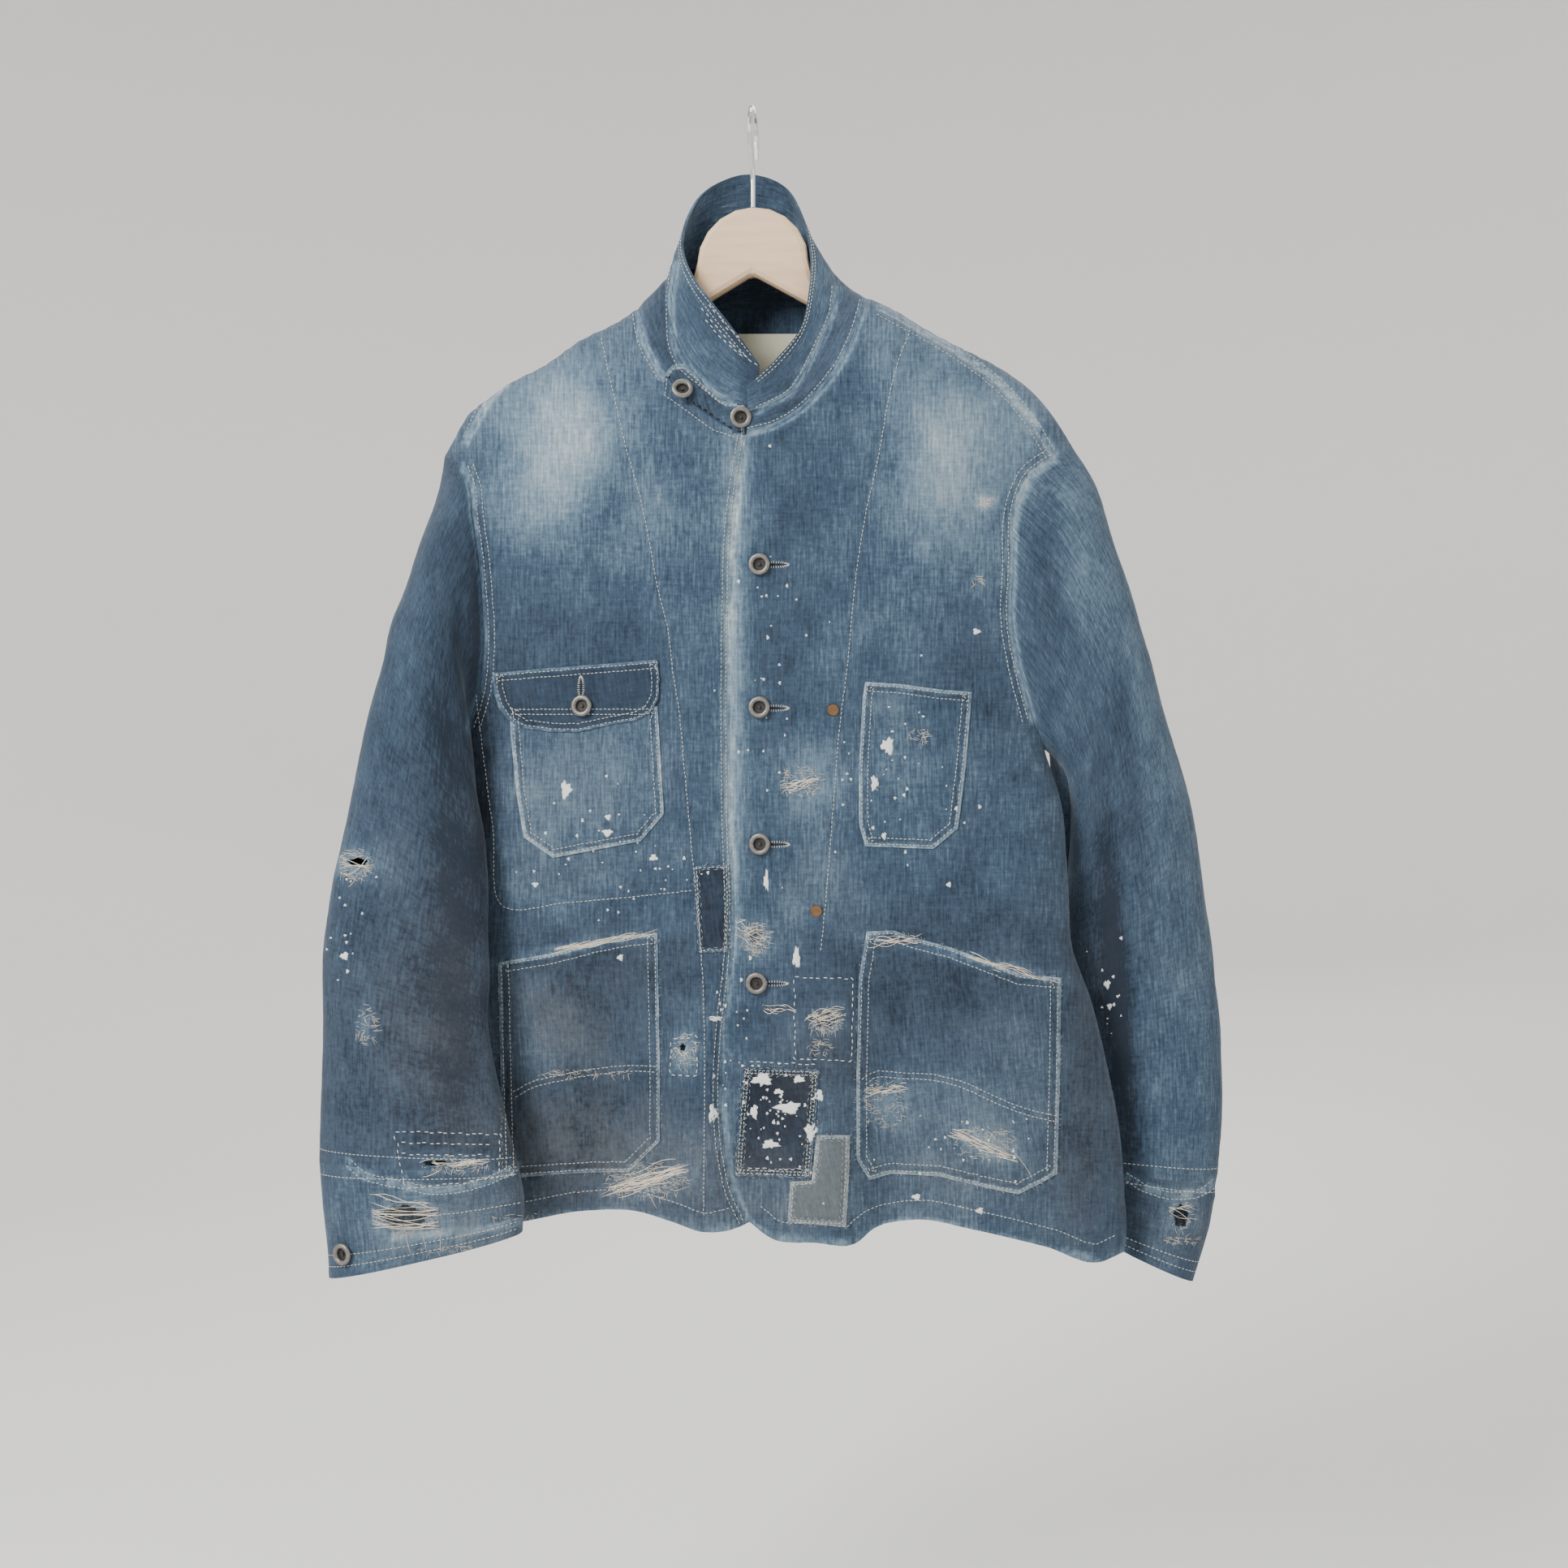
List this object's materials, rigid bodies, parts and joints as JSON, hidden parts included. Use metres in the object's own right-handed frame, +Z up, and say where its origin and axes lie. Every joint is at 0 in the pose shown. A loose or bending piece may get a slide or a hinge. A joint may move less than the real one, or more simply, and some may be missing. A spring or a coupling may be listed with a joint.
{
  "type": "patched denim work jacket on a wooden hanger",
  "caption": "Worn denim chore jacket with sewn-on patches, frayed rips and a standing collar, hung buttoned on a pale wooden hanger with a wire hook.",
  "frame": {"origin": "inside top of the hanger's hook, where a rail or peg carries it", "axes": "+X to the wearer's left, +Y from the jacket's front to its back, +Z up; the hanger and shoulders are turned about 7 degrees about Z, as hung"},
  "size_m": [0.7117, 0.1481, 0.9407],
  "materials": {
    "body_denim": "faded twill with stains, frays and paint specks",
    "sleeve_denim": "faded twill",
    "collar_denim": "faded twill with running stitches",
    "pocket_denim": "greyed twill",
    "flap_denim": "dark twill",
    "patch_denim": "dark twill",
    "label_cloth": "woven, blank",
    "pewter": "worn",
    "copper": "worn",
    "maple": "satin",
    "hook_wire": "polished"
  },
  "bodies": {
    "root": {"back_left": "body_denim", "back_right": "body_denim", "button_cuff_left": "pewter", "button_cuff_right": "pewter", "button_flap": "pewter", "button_front_1": "pewter", "button_front_2": "pewter", "button_front_3": "pewter", "button_front_4": "pewter", "button_strap_1": "pewter", "button_strap_2": "pewter", "collar_leaf": "collar_denim", "collar_stand": "collar_denim", "cuff_left_back": "sleeve_denim", "cuff_left_front": "sleeve_denim", "cuff_right_back": "sleeve_denim", "cuff_right_front": "sleeve_denim", "flap_chest": "flap_denim", "front_left": "body_denim", "front_right": "body_denim", "hanger_hook": "hook_wire", "hanger_wood": "maple", "neck_label": "label_cloth", "neck_strap": "collar_denim", "patch_backing": "patch_denim", "patch_corner": "patch_denim", "patch_dark": "patch_denim", "patch_edge": "patch_denim", "pocket_chest": "pocket_denim", "pocket_flap_chest": "pocket_denim", "pocket_hip_left": "pocket_denim", "pocket_hip_right": "pocket_denim", "rivet_1": "copper", "rivet_2": "copper", "sleeve_left_back": "sleeve_denim", "sleeve_left_front": "sleeve_denim", "sleeve_right_back": "sleeve_denim", "sleeve_right_front": "sleeve_denim"}
  },
  "joints": []
}
